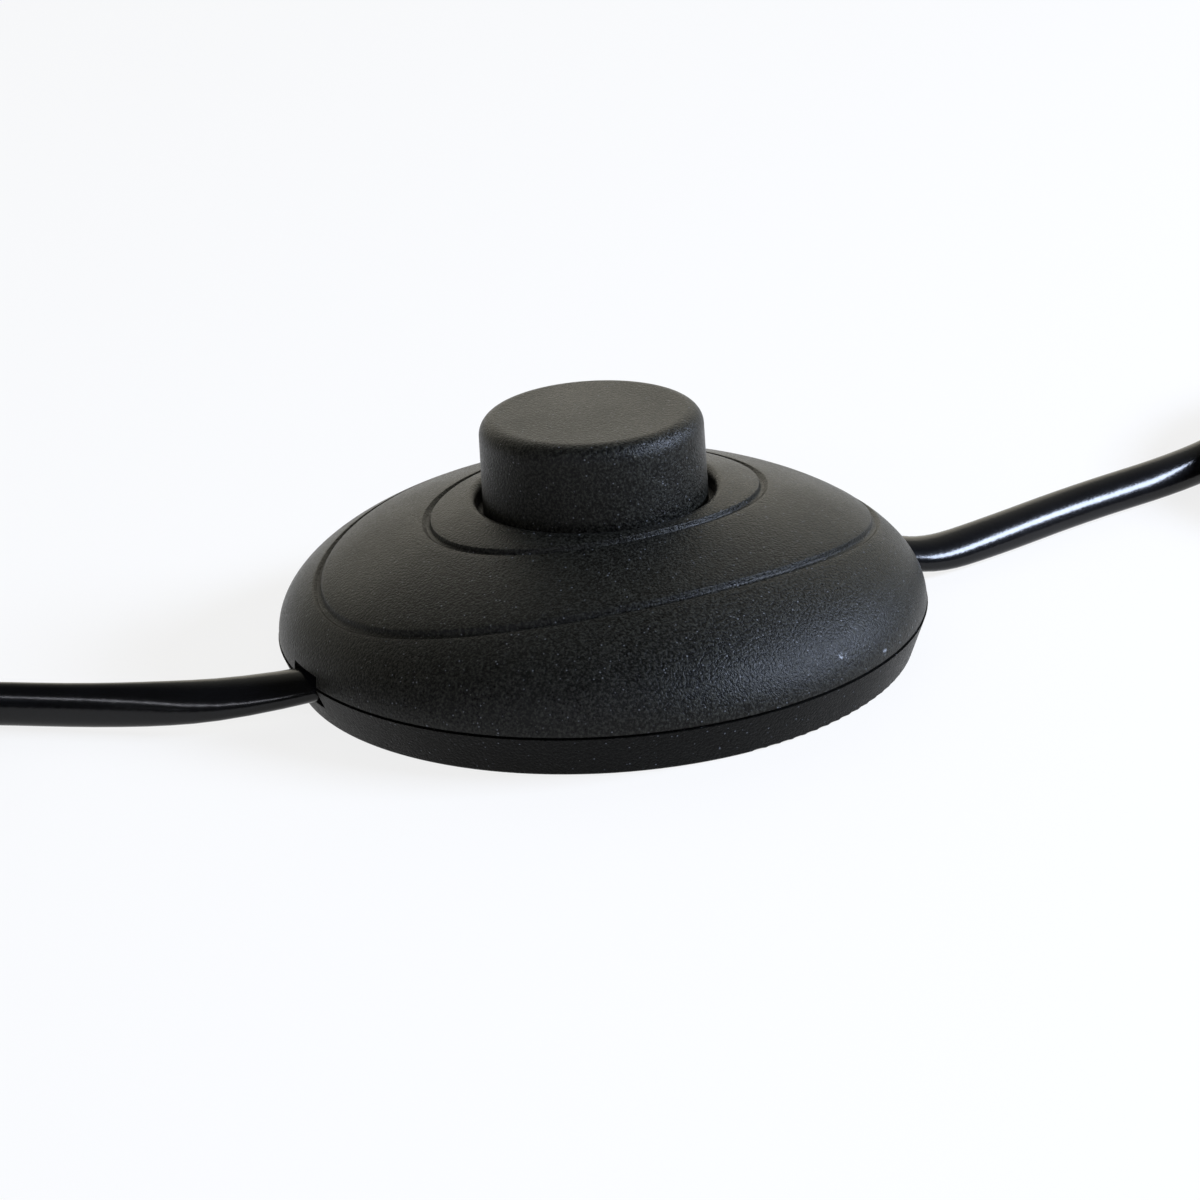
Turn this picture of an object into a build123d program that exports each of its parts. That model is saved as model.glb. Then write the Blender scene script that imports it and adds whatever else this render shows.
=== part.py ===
"""Inline foot switch: a domed round housing with a press button and a ratchet switch,
set into a flat twin cord. Millimetres, +Z up, origin at the centre of the base, cord along X.
"""
import os
from math import cos, pi, radians, sin, tan

from build123d import *

os.makedirs("parts", exist_ok=True)

# Housing
housing_radius = 40.0
parting_z = 5.5
parting_gap = 0.25
crown_height = 18.5
crown_power = 1.3
crown_roundness = 2.1
cover_wall = 2.2
base_inset = 2.0
base_wall = 2.2
base_floor = 2.2
base_edge_round = 0.6
tongue_height = 2.0
tongue_wall = 1.4
tongue_gap = 0.6

# Decorative grooves that follow the crown
inner_groove = (22.0, 17.6)
outer_groove = (36.2, 28.8)
groove_width = 1.1
groove_depth = 0.35

# Button, its hole and its guide collar
button_radius = 13.8
button_rise = 9.7
button_wall = 1.8
button_round = 2.2
button_draft = 0.15
travel = 5.0
hole_clearance = 0.8
hole_round = 0.6
ledge_z = 19.2
flange_width = 1.6
flange_height = 2.0
flange_clearance = 0.4
collar_wall = 1.6
collar_z = 13.0
key_width = 3.0
key_length = 1.2
key_clearance = 0.2
stop_gap = 0.2
rib_width = 1.2

# Pivot pin, ratchet and contacts
pin_radius = 2.2
pin_past_clip = 1.7
pin_clearance = 0.08
shoulder_radius = 4.0
shoulder_z = 5.5
axial_gap = 0.1
rotor_radius = 11.3
rotor_disc_z = 6.2
rotor_disc_height = 2.0
hub_radius = 4.2
crown_inner = 5.4
crown_outer = 9.0
tooth_count = 8
tooth_depth = 5.4
turn_per_press = 35.0
rotor_land = 2.0
driver_land = 3.0
driver_lead = 8.0
tip_gap = 0.25
driver_inner = 4.8
driver_flange_gap = 0.4
driver_flange_height = 1.2
lock_rib = (0.6, 2.0, 4.0)
lock_gap = 0.15
clip_radius = 4.0
clip_height = 0.6
cup_inner = 12.3
cup_wall = 1.6
cup_top_z = 10.1
cup_plate = 1.2
cup_bore = 9.6
cup_window = (6.0, 3.8)
ear_radius = 2.8
ear_reach = 17.2
ear_height = 1.8
ear_seat_z = 4.2
bridge_thickness = 0.5
bridge_arm = (10.4, 3.6)
stake_radius = 0.7
stake_reach = 8.6
stake_clearance = 0.05
contact_width = 4.6
contact_thickness = 0.6
contact_seat_z = 3.6
contact_reach = 8.5
contact_end = 23.0
rivet_radius = 1.3
rivet_gap = 0.15
terminal_x = 20.0
rivet_height = 0.6
tongue_margin = 0.3
spring_setback = 0.6
spring_wire = 0.9
spring_turns = 6

# Screws: shank radius, head radius, head height, shank length
terminal_screw = (1.4, 2.8, 1.6, 3.8)
ear_screw = (1.2, 2.2, 1.4, 4.2)
clamp_screw = (1.2, 2.2, 1.4, 5.0)
housing_screw = (1.35, 2.8, 1.7, 8.0)
slot_width = 0.7
slot_depth = 0.8
housing_screw_setback = 5.4
housing_screw_angle = 43.7
housing_screw_clearance = 0.3
cover_boss_radius = 3.4
base_boss_radius = 4.5
screw_recess = 1.7
pilot_depth = 8.0

# Cord, its cores and its clamps
cord_width = 5.4
cord_height = 3.4
cord_z = 4.6
core_radius = 0.95
core_spacing = 2.2
conductor_radius = 0.5
conductor_gap = 0.05
conductor_end = 18.5
jacket_past_clamp = 0.5
notch_width = 6.6
notch_z = (2.7, 6.9)
clamp_setback = 4.8
clamp_bar = (14.5, 4.0, 2.0)
clamp_post_y = 5.4
clamp_post_radius = 2.1
connector_y = 25.0
connector = (14.0, 5.0, 5.4)
connector_seat_z = 3.2
connector_screw = (1.5, 2.8)
connector_bore = 1.25
connector_round = 0.8
moulding_round = 0.5
trough_wall = 1.2
trough_gap = 0.15
trough_height = 3.6

# Plug with two round pins
plug_length = 36.0
plug_width = 35.3
plug_height = 13.7
plug_corner = 4.6
plug_grip = 18.0
plug_neck = (13.0, 9.5, 8.0)
plug_sleeve_root = (11.0, 8.5)
plug_sleeve_tip = (8.6, 7.1)
plug_pin_radius = 2.0
plug_pin_length = 19.0
plug_pin_spacing = 18.6
plug_pin_root = 6.0
plug_sleeve = (1.9, 10.0, 0.4)
plug_tip_round = 1.2

# Coils of the cord that is put away
coil_step = 5.4
coil_radius = 29.5
supply_coil_at = (-121.0, 10.6)
supply_coil_turns = (3, 2)
lamp_coil_at = (130.0, -12.0)
lamp_coil_turns = (2, 2)
stripped_length = 24.0
stripped_runs = 3
stripped_drop = 0.15
bare_length = 8.0


def crown_points(inset):
    """Points of the crown's half outline, `inset` inside the outer surface, axis to rim."""
    radius = housing_radius - inset
    height = crown_height - inset
    shares = (0.0, 0.2, 0.4, 0.6, 0.77, 0.9, 0.97, 1.0)
    return [
        (radius * s, parting_z + height * (1 - s**crown_power) ** (1 / crown_roundness))
        for s in shares
    ]


def crown_z(radius, inset=0.0):
    """Height of the crown's surface at one radius."""
    share = radius / (housing_radius - inset)
    rise = (1 - share**crown_power) ** (1 / crown_roundness)
    return parting_z + (crown_height - inset) * rise


def crown_form(inset):
    """Solid crown, `inset` inside the outer surface."""
    with BuildPart() as form:
        with BuildSketch(Plane.XZ):
            with BuildLine():
                arch = Spline(*crown_points(inset), tangents=[(1, 0), (0, -1)])
                Polyline(arch @ 1, (0, parting_z), arch @ 0)
            make_face()
        revolve(axis=Axis.Z)
    return form.part


def groove(semi_axes):
    """Band over the crown, between two ovals and down to the groove's floor."""
    below = crown_form(groove_depth)
    with BuildPart() as band:
        with BuildSketch(Plane.XY.offset(parting_z)):
            Ellipse(*semi_axes)
            Ellipse(*(a - groove_width for a in semi_axes), mode=Mode.SUBTRACT)
        extrude(amount=crown_height + 1)
        add(below, mode=Mode.SUBTRACT)
    return band.part


def ring_sector(start, end):
    """Part of the ratchet's ring between two angles."""
    with BuildSketch() as sector:
        with BuildLine():
            outer = CenterArc((0, 0), crown_outer, start, end - start)
            inner = CenterArc((0, 0), crown_inner, start, end - start)
            Line(outer @ 0, inner @ 0)
            Line(outer @ 1, inner @ 1)
        make_face()
    return sector.sketch


def saw_tooth(land):
    """One crown tooth about Z: an upright face at angle 0, a top land, and a helical flank
    that falls by the travel over the turn of one press."""
    fall = tooth_depth * turn_per_press / travel
    upright = ring_sector(0, land + fall)
    slanted = ring_sector(land + fall - 90, land + fall)
    twisted = Solid.extrude_linear_with_rotation(
        slanted.face(), (0, 0, 0), (0, 0, tooth_depth), -fall
    )
    with BuildPart() as tooth:
        extrude(upright, amount=tooth_depth)
        add(twisted, mode=Mode.INTERSECT)
    return tooth.part


def screw(sizes, at, head_down=False):
    """Slotted pan-head screw; `at` is the underside of its head, the shank points down."""
    shank_radius, head_radius, head_height, length = sizes
    with BuildPart() as piece:
        Cylinder(head_radius, head_height, align=(Align.CENTER, Align.CENTER, Align.MIN))
        fillet(piece.edges().group_by(Axis.Z)[-1], head_height / 3)
        Cylinder(shank_radius, length, align=(Align.CENTER, Align.CENTER, Align.MAX))
        chamfer(piece.edges().group_by(Axis.Z)[0], shank_radius / 3)
        with Locations((0, 0, head_height)):
            Box(2 * head_radius, slot_width, 2 * slot_depth, mode=Mode.SUBTRACT)
    turned = piece.part.rotate(Axis.X, 180) if head_down else piece.part
    return turned.moved(Location(at))


def route_bends(points):
    """Radius of each bend: 0.45 of the shorter run over the tangent of half the turn."""
    bends = []
    for before, corner, after in zip(points, points[1:], points[2:]):
        run_in = Vector(corner) - Vector(before)
        run_out = Vector(after) - Vector(corner)
        turn = radians(run_in.get_angle(run_out))
        bends.append(0.45 * min(run_in.length, run_out.length) / tan(turn / 2))
    return bends


def cord_tube(points, across_start, across_end):
    """Flat cord along straight runs joined by tangent arcs, as wide as `across` at each end."""
    with BuildPart() as tube:
        with BuildLine() as route:
            FilletPolyline(*points, radius=route_bends(points))
        for share, across in ((0, across_start), (1, across_end)):
            end = Plane(route.line @ share, x_dir=across, z_dir=route.line % share)
            with BuildSketch(end):
                Ellipse(cord_width / 2, cord_height / 2)
        sweep(multisection=True)
    length = route.wire().length
    section = pi * cord_width * cord_height / 4
    print("cord", round(length, 1), "mm, bends", [round(b, 1) for b in route_bends(points)],
          "volume over section times length", round(tube.part.volume / section / length, 3))
    return tube.part


def core(points):
    """Round insulated core along straight runs joined by tangent arcs."""
    with BuildPart() as wire:
        with BuildLine() as route:
            FilletPolyline(*points, radius=route_bends(points))
        with BuildSketch(Plane(route.line @ 0, z_dir=route.line % 0)):
            Circle(core_radius)
        sweep()
    return wire.part


def coil(at, turns):
    """Outer shape of a neat coil: its columns beside each other, its layers stacked."""
    columns, layers = turns
    with BuildPart() as ring:
        with BuildSketch():
            with Locations(at):
                Circle(coil_radius + columns * coil_step / 2)
                Circle(coil_radius - columns * coil_step / 2, mode=Mode.SUBTRACT)
        extrude(amount=layers * coil_step)
        fillet(ring.edges().filter_by(GeomType.CIRCLE), coil_step / 3)
    return ring.part


def keep(part, name):
    """Label a finished piece and write it."""
    part.label = name
    export_step(part, f"parts/{name}.step")


# Values that follow from the sizes above
hole_radius = button_radius + hole_clearance
lip_z = crown_z(hole_radius)
button_top = lip_z + button_rise
flange_radius = button_radius + flange_width
collar_inner = flange_radius + flange_clearance
collar_outer = collar_inner + collar_wall
flange_top = ledge_z - stop_gap
skirt_z = flange_top - flange_height
ceiling_z = button_top - button_wall
button_inner = button_radius - button_wall
driver_flange_radius = button_inner - driver_flange_gap
spring_radius = driver_flange_radius - spring_setback
teeth_z = rotor_disc_z + rotor_disc_height
teeth_top = teeth_z + tooth_depth
tip_z = teeth_z + tip_gap + travel
clip_z = teeth_top - 1 + axial_gap
pin_height = clip_z + clip_height + pin_past_clip
bridge_z = rotor_disc_z - bridge_thickness
contact_top = contact_seat_z + contact_thickness
rivet_top = bridge_z - rivet_gap
tongue_top = rivet_top - rivet_height
tongue_low = tongue_top - contact_thickness
base_top = parting_z - parting_gap
tongue_outer = housing_radius - cover_wall - tongue_gap
tongue_inner = tongue_outer - tongue_wall
screw_circle = tongue_inner - housing_screw_setback
screw_x = screw_circle * cos(radians(housing_screw_angle))
screw_y = screw_circle * sin(radians(housing_screw_angle))
screw_places = [(x, y) for x in (-screw_x, screw_x) for y in (-screw_y, screw_y)]
clamp_x = tongue_inner - clamp_setback
jacket_end = clamp_x - clamp_bar[1] / 2 - jacket_past_clamp
cord_top = cord_z + cord_height / 2
cord_bottom = cord_z - cord_height / 2
cup_outer = cup_inner + cup_wall
conductor_z = connector_seat_z + connector[2] / 2

# Top cover
lining = crown_form(cover_wall / 2)
groove_bands = [groove(semi_axes) for semi_axes in (inner_groove, outer_groove)]
with BuildPart() as top_cover:
    with BuildSketch(Plane.XY.offset(parting_z)):
        with Locations(*screw_places):
            Circle(cover_boss_radius)
    extrude(amount=crown_height)
    with BuildSketch(Plane.XY.offset(collar_z)):
        Circle(collar_outer)
        for x, y in screw_places:
            with BuildLine():
                Line((0, 0), (x, y))
            trace(line_width=rib_width)
    extrude(amount=crown_height)
    add(lining, mode=Mode.INTERSECT)
    with BuildSketch(Plane.XZ):
        with BuildLine():
            outside = Spline(*crown_points(0), tangents=[(1, 0), (0, -1)])
            inside = Spline(*crown_points(cover_wall), tangents=[(1, 0), (0, -1)])
            Line(outside @ 1, inside @ 1)
            Line(outside @ 0, inside @ 0)
        make_face()
    revolve(axis=Axis.Z)
    with BuildSketch(Plane.XY.offset(ledge_z)):
        Circle(collar_inner)
        Rectangle(key_width + 2 * key_clearance, 2 * collar_outer)
    extrude(amount=collar_z - ledge_z, mode=Mode.SUBTRACT)
    with BuildSketch(Plane.XY.offset(collar_z)):
        Circle(hole_radius)
    extrude(amount=crown_height, mode=Mode.SUBTRACT)
    lip = top_cover.edges().filter_by(GeomType.CIRCLE).filter_by(
        lambda e: abs(e.radius - hole_radius) < 0.01
    )
    fillet(lip.sort_by(Axis.Z)[-1], hole_round)
    for band in groove_bands:
        add(band, mode=Mode.SUBTRACT)
    with Locations(*[(x, y, parting_z) for x, y in screw_places]):
        Cylinder(housing_screw[0], pilot_depth,
                 align=(Align.CENTER, Align.CENTER, Align.MIN), mode=Mode.SUBTRACT)
    with BuildSketch(Plane.YZ.offset(-housing_radius - 1)):
        with Locations((0, notch_z[1])):
            Rectangle(notch_width, 2 * (notch_z[1] - parting_z), align=(Align.CENTER, Align.MAX))
    extrude(amount=2 * housing_radius + 2, mode=Mode.SUBTRACT)
keep(top_cover.part, "top_cover")

# Base shell
with BuildPart() as base_shell:
    with BuildSketch(Plane.XZ):
        foot = housing_radius - base_inset
        with BuildLine():
            Polyline(
                (0, 0), (foot, 0), (housing_radius, base_top), (tongue_outer, base_top),
                (tongue_outer, parting_z + tongue_height),
                (tongue_inner, parting_z + tongue_height), (tongue_inner, base_top),
                (foot - base_wall, base_floor), (0, base_floor), (0, 0),
            )
        make_face()
    revolve(axis=Axis.Z)
    fillet(base_shell.edges().group_by(Axis.Z)[0], base_edge_round)
    # Screw bosses, clamp posts and cord saddles
    with BuildSketch(Plane.XY.offset(base_floor)):
        with Locations(*screw_places):
            Circle(base_boss_radius)
    extrude(amount=parting_z - base_floor)
    with BuildSketch(Plane.XY.offset(base_floor)):
        with GridLocations(2 * clamp_x, 2 * clamp_post_y, 2, 2):
            Circle(clamp_post_radius)
    extrude(amount=cord_top - 0.5 - base_floor)
    with BuildSketch(Plane.XY.offset(base_floor)):
        with GridLocations(2 * clamp_x, 0, 2, 1):
            Rectangle(clamp_bar[1], 2 * (clamp_post_y - clamp_post_radius))
    extrude(amount=cord_bottom - base_floor)
    # Pivot pin on its shoulder
    with BuildSketch(Plane.XY.offset(base_floor)):
        Circle(shoulder_radius)
    extrude(amount=shoulder_z - base_floor)
    with BuildSketch(Plane.XY.offset(base_floor)):
        Circle(pin_radius)
    extrude(amount=pin_height - base_floor)
    chamfer(base_shell.edges().group_by(Axis.Z)[-1], 0.4)
    # Seats of the two contacts, the switch cup and the neutral connector
    with BuildSketch(Plane.XY.offset(base_floor)):
        with GridLocations(contact_end + cup_outer, 0, 2, 1):
            Rectangle(contact_end - cup_outer, contact_width + 2)
    extrude(amount=contact_seat_z - base_floor)
    with BuildSketch(Plane.XY.offset(base_floor)):
        with GridLocations(0, 2 * ear_reach, 1, 2):
            Circle(ear_radius)
    extrude(amount=ear_seat_z - base_floor)
    with BuildSketch(Plane.XY.offset(base_floor)):
        with Locations((0, connector_y)):
            Rectangle(connector[0] - 2, connector[1] + 2 * (trough_gap + trough_wall))
    extrude(amount=connector_seat_z + trough_height - base_floor)
    with BuildSketch(Plane.XY.offset(connector_seat_z)):
        with Locations((0, connector_y)):
            Rectangle(connector[0], connector[1] + 2 * trough_gap)
    extrude(amount=trough_height, mode=Mode.SUBTRACT)
    # Screw holes
    for x, y in screw_places:
        with Locations((x, y, 0)):
            Cylinder(housing_screw[0] + housing_screw_clearance, parting_z,
                     align=(Align.CENTER, Align.CENTER, Align.MIN), mode=Mode.SUBTRACT)
            Cylinder(housing_screw[1] + housing_screw_clearance,
                     screw_recess + housing_screw[2],
                     align=(Align.CENTER, Align.CENTER, Align.MIN), mode=Mode.SUBTRACT)
    with BuildSketch(Plane.XY.offset(base_floor / 2)):
        with GridLocations(2 * clamp_x, 2 * clamp_post_y, 2, 2):
            Circle(clamp_screw[0])
        with GridLocations(0, 2 * ear_reach, 1, 2):
            Circle(ear_screw[0])
        with GridLocations(2 * terminal_x, 0, 2, 1):
            Circle(terminal_screw[0])
    extrude(amount=cord_top, mode=Mode.SUBTRACT)
    # Cord notches
    with BuildSketch(Plane.YZ.offset(tongue_inner - 1)):
        with Locations((0, notch_z[0])):
            Rectangle(notch_width, housing_radius, align=(Align.CENTER, Align.MIN))
    extrude(amount=housing_radius, mode=Mode.SUBTRACT)
    with BuildSketch(Plane.YZ.offset(1 - tongue_inner)):
        with Locations((0, notch_z[0])):
            Rectangle(notch_width, housing_radius, align=(Align.CENTER, Align.MIN))
    extrude(amount=-housing_radius, mode=Mode.SUBTRACT)
keep(base_shell.part, "base_shell")

# Button: cap with a retaining flange, two keys and two inner lock ribs
with BuildPart() as button:
    with BuildSketch(Plane.XZ):
        with BuildLine():
            Polyline(
                (0, ceiling_z), (button_inner, ceiling_z), (button_inner, skirt_z),
                (flange_radius, skirt_z), (flange_radius, flange_top),
                (button_radius, flange_top), (button_radius - button_draft, button_top),
                (0, button_top), (0, ceiling_z),
            )
        make_face()
    revolve(axis=Axis.Z)
    fillet(button.edges().group_by(Axis.Z)[-1], button_round)
    with BuildSketch(Plane.XY.offset(skirt_z)):
        Rectangle(key_width, 2 * (flange_radius + key_length))
        Circle(button_radius, mode=Mode.SUBTRACT)
    extrude(amount=flange_height)
    with BuildSketch(Plane.XY.offset(ceiling_z)):
        Circle(button_inner)
        Circle(button_inner - lock_rib[0], mode=Mode.SUBTRACT)
        Rectangle(2 * button_radius, lock_rib[1], mode=Mode.INTERSECT)
    extrude(amount=-lock_rib[2])
keep(button.part, "button")

# Ratchet driver: toothed tube that the spring holds against the button's ceiling
driver_tooth = saw_tooth(driver_land)
with BuildPart() as ratchet_driver:
    with BuildSketch(Plane.XY.offset(tip_z + tooth_depth)):
        Circle(crown_outer)
        Circle(driver_inner, mode=Mode.SUBTRACT)
    extrude(amount=ceiling_z - tip_z - tooth_depth)
    with BuildSketch(Plane.XY.offset(ceiling_z)):
        Circle(driver_flange_radius)
        Circle(driver_inner, mode=Mode.SUBTRACT)
        Rectangle(2 * button_radius, lock_rib[1] + 2 * lock_gap, mode=Mode.SUBTRACT)
        Circle(crown_outer)
        Circle(driver_inner, mode=Mode.SUBTRACT)
    extrude(amount=-driver_flange_height)
    with Locations(Location((0, 0, tip_z + tooth_depth), (180, 0, -driver_lead))):
        with PolarLocations(0, tooth_count):
            add(driver_tooth)
keep(ratchet_driver.part, "ratchet_driver")

# Ratchet rotor on the pivot pin, with stakes that carry the contact bridge
rotor_tooth = saw_tooth(rotor_land)
with BuildPart() as ratchet_rotor:
    with BuildSketch(Plane.XY.offset(rotor_disc_z)):
        Circle(rotor_radius)
    extrude(amount=rotor_disc_height)
    with BuildSketch(Plane.XY.offset(shoulder_z + axial_gap)):
        Circle(hub_radius)
    extrude(amount=teeth_top - shoulder_z - axial_gap - 1)
    with Locations((0, 0, teeth_z)):
        with PolarLocations(0, tooth_count):
            add(rotor_tooth)
    with BuildSketch(Plane.XY.offset(bridge_z)):
        with PolarLocations(stake_reach, 4, start_angle=45):
            Circle(stake_radius)
    extrude(amount=bridge_thickness)
    with BuildSketch(Plane.XY):
        Circle(pin_radius + pin_clearance)
    extrude(amount=pin_height, mode=Mode.SUBTRACT)
keep(ratchet_rotor.part, "ratchet_rotor")

# Contact bridge: four-armed plate under the rotor
with BuildPart() as contact_bridge:
    with BuildSketch(Plane.XY.offset(bridge_z)):
        with Locations(*[Location((0, 0, 0), (0, 0, angle)) for angle in (45, 135)]):
            SlotOverall(2 * bridge_arm[0], bridge_arm[1])
        Circle(hub_radius + 2)
        Circle(hub_radius + stake_clearance, mode=Mode.SUBTRACT)
        with PolarLocations(stake_reach, 4, start_angle=45):
            Circle(stake_radius + stake_clearance, mode=Mode.SUBTRACT)
    extrude(amount=bridge_thickness)
keep(contact_bridge.part, "contact_bridge")

# Push-on clip that holds the rotor down
with BuildPart() as pivot_clip:
    with BuildSketch(Plane.XY.offset(clip_z)):
        Circle(clip_radius)
        Circle(pin_radius, mode=Mode.SUBTRACT)
        with PolarLocations(pin_radius, 6):
            Rectangle(1.4, 0.4, mode=Mode.SUBTRACT)
    extrude(amount=clip_height)
keep(pivot_clip.part, "pivot_clip")

# Switch cup: inverted cup over the rotor, which the button's spring stands on
with BuildPart() as switch_cup:
    with BuildSketch(Plane.XY.offset(base_floor)):
        Circle(cup_outer)
    extrude(amount=cup_top_z - base_floor)
    with BuildSketch(Plane.XY.offset(ear_seat_z)):
        SlotOverall(2 * (ear_reach + ear_radius), 2 * ear_radius, rotation=90)
    extrude(amount=ear_height)
    with BuildSketch(Plane.XY.offset(base_floor)):
        Circle(cup_inner)
    extrude(amount=cup_top_z - cup_plate - base_floor, mode=Mode.SUBTRACT)
    with BuildSketch(Plane.XY.offset(base_floor)):
        Circle(cup_bore)
        with GridLocations(0, 2 * ear_reach, 1, 2):
            Circle(ear_screw[0])
    extrude(amount=cup_top_z, mode=Mode.SUBTRACT)
    with BuildSketch(Plane.XY.offset(base_floor)):
        Rectangle(2 * cup_outer + 2, cup_window[0])
    extrude(amount=cup_window[1], mode=Mode.SUBTRACT)
    fillet(switch_cup.edges().group_by(Axis.Z)[-1].sort_by(SortBy.RADIUS)[-1], moulding_round)
keep(switch_cup.part, "switch_cup")

# Button spring between the cup and the driver's flange
spring_top = ceiling_z - driver_flange_height
spring_height = spring_top - cup_top_z - spring_wire - 2 * axial_gap
with BuildPart() as button_spring:
    with BuildLine() as coil_line:
        Helix(spring_height / spring_turns, spring_height, spring_radius,
              center=(0, 0, cup_top_z + spring_wire / 2 + axial_gap))
    with BuildSketch(Plane(coil_line.line @ 0, z_dir=coil_line.line % 0)):
        Circle(spring_wire / 2)
    sweep(is_frenet=True)
keep(button_spring.part, "button_spring")

# Fixed contacts: a strip with a terminal hole and a raised tongue with a rivet
with BuildPart() as contact_in:
    with BuildSketch(Plane.XZ):
        with BuildLine():
            Polyline(
                (-contact_end, contact_seat_z), (-cup_inner, contact_seat_z),
                (-contact_reach - rivet_radius - tongue_margin, tongue_low),
                (-contact_reach + rivet_radius + tongue_margin, tongue_low),
                (-contact_reach + rivet_radius + tongue_margin, tongue_top),
                (-contact_reach - rivet_radius - tongue_margin, tongue_top),
                (-cup_inner, contact_top), (-contact_end, contact_top),
                (-contact_end, contact_seat_z),
            )
        make_face()
    extrude(amount=contact_width / 2, both=True)
    with Locations((-contact_reach, 0, tongue_top)):
        Cylinder(rivet_radius, rivet_height, align=(Align.CENTER, Align.CENTER, Align.MIN))
    with Locations((-terminal_x, 0, contact_top)):
        Cylinder(terminal_screw[0], 4, mode=Mode.SUBTRACT)
keep(contact_in.part, "contact_in")
contact_out = mirror(contact_in.part, about=Plane.YZ)
keep(contact_out, "contact_out")

# Neutral connector: drilled block with two grub screws
with BuildPart() as neutral_connector:
    with Locations((0, connector_y, connector_seat_z)):
        Box(*connector, align=(Align.CENTER, Align.CENTER, Align.MIN))
    fillet(neutral_connector.edges().filter_by(Axis.X), connector_round)
    with Locations(Location((0, connector_y, conductor_z), (0, 90, 0))):
        Cylinder(connector_bore, connector[0], mode=Mode.SUBTRACT)
    with BuildSketch(Plane.XY.offset(conductor_z)):
        with Locations((-connector[0] / 4, connector_y), (connector[0] / 4, connector_y)):
            Circle(connector_screw[0])
    extrude(amount=connector[2], mode=Mode.SUBTRACT)
keep(neutral_connector.part, "neutral_connector")

with BuildPart() as connector_screws:
    with BuildSketch(Plane.XY.offset(conductor_z + conductor_radius)):
        with Locations((-connector[0] / 4, connector_y), (connector[0] / 4, connector_y)):
            Circle(connector_screw[0])
    extrude(amount=connector_screw[1])
    with BuildSketch(Plane.XY.offset(conductor_z + conductor_radius + connector_screw[1])):
        with Locations((0, connector_y)):
            Rectangle(connector[0], slot_width)
    extrude(amount=-slot_depth, mode=Mode.SUBTRACT)
keep(connector_screws.part, "connector_screws")


def cord_clamp(side):
    """Bar across the cord, with two screw holes."""
    with BuildPart() as bar:
        with BuildSketch(Plane.XY.offset(cord_top)):
            with Locations((side * clamp_x, 0)):
                SlotOverall(clamp_bar[0], clamp_bar[1], rotation=90)
            with Locations((side * clamp_x, clamp_post_y), (side * clamp_x, -clamp_post_y)):
                Circle(clamp_screw[0], mode=Mode.SUBTRACT)
        extrude(amount=clamp_bar[2])
        fillet(bar.edges().group_by(Axis.Z)[-1].filter_by(Axis.Y), moulding_round)
    return bar.part


keep(cord_clamp(-1), "cord_clamp_in")
keep(cord_clamp(1), "cord_clamp_out")

# Screws, each kind as one group
clamp_places = [(x, y, cord_top + clamp_bar[2]) for x in (-clamp_x, clamp_x)
                for y in (-clamp_post_y, clamp_post_y)]
keep(Compound([screw(clamp_screw, at) for at in clamp_places]), "clamp_screws")
ear_places = [(0, y, ear_seat_z + ear_height) for y in (-ear_reach, ear_reach)]
keep(Compound([screw(ear_screw, at) for at in ear_places]), "cup_screws")
terminal_places = [(x, 0, contact_top + 2 * conductor_radius) for x in (-terminal_x, terminal_x)]
keep(Compound([screw(terminal_screw, at) for at in terminal_places]), "terminal_screws")
under_places = [(x, y, screw_recess + housing_screw[2]) for x, y in screw_places]
keep(Compound([screw(housing_screw, at, head_down=True) for at in under_places]),
     "housing_screws")


# Insulated cores inside the housing, and the bare conductors at their ends
core_y = core_spacing / 2
live_y = -terminal_screw[0] - conductor_radius - conductor_gap
live_end = contact_end + 0.4
live_route = [
    (-jacket_end, -core_y, cord_z),
    (-jacket_end + 1.7, -core_y, cord_z),
    (-live_end - 1.7, live_y, contact_top + conductor_radius),
    (-live_end, live_y, contact_top + conductor_radius),
]
neutral_route = [
    (-jacket_end, core_y, cord_z),
    (-jacket_end + 2.1, core_y, cord_z),
    (-23.4, 3.6, 4.7),
    (-20.5, 8.5, 4.9),
    (-16.5, 17.0, 5.4),
    (-13.4, 22.6, conductor_z),
    (-10.0, connector_y, conductor_z),
    (-connector[0] / 2, connector_y, conductor_z),
]
live_core_in = core(live_route)
neutral_core_in = core(neutral_route)
keep(live_core_in, "live_core_in")
keep(neutral_core_in, "neutral_core_in")
keep(mirror(live_core_in, about=Plane.YZ), "live_core_out")
keep(mirror(neutral_core_in, about=Plane.YZ), "neutral_core_out")

with BuildPart() as conductor_ends:
    for side in (-1, 1):
        with BuildSketch(Plane.YZ.offset(side * live_end)):
            with Locations((live_y, contact_top + conductor_radius)):
                Circle(conductor_radius)
        extrude(amount=side * (conductor_end - live_end))
        with BuildSketch(Plane.YZ.offset(side * connector[0] / 2)):
            with Locations((connector_y, conductor_z)):
                Circle(conductor_radius)
        extrude(amount=-side * (connector[0] / 2 - 1))
keep(conductor_ends.part, "conductor_ends")

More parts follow.
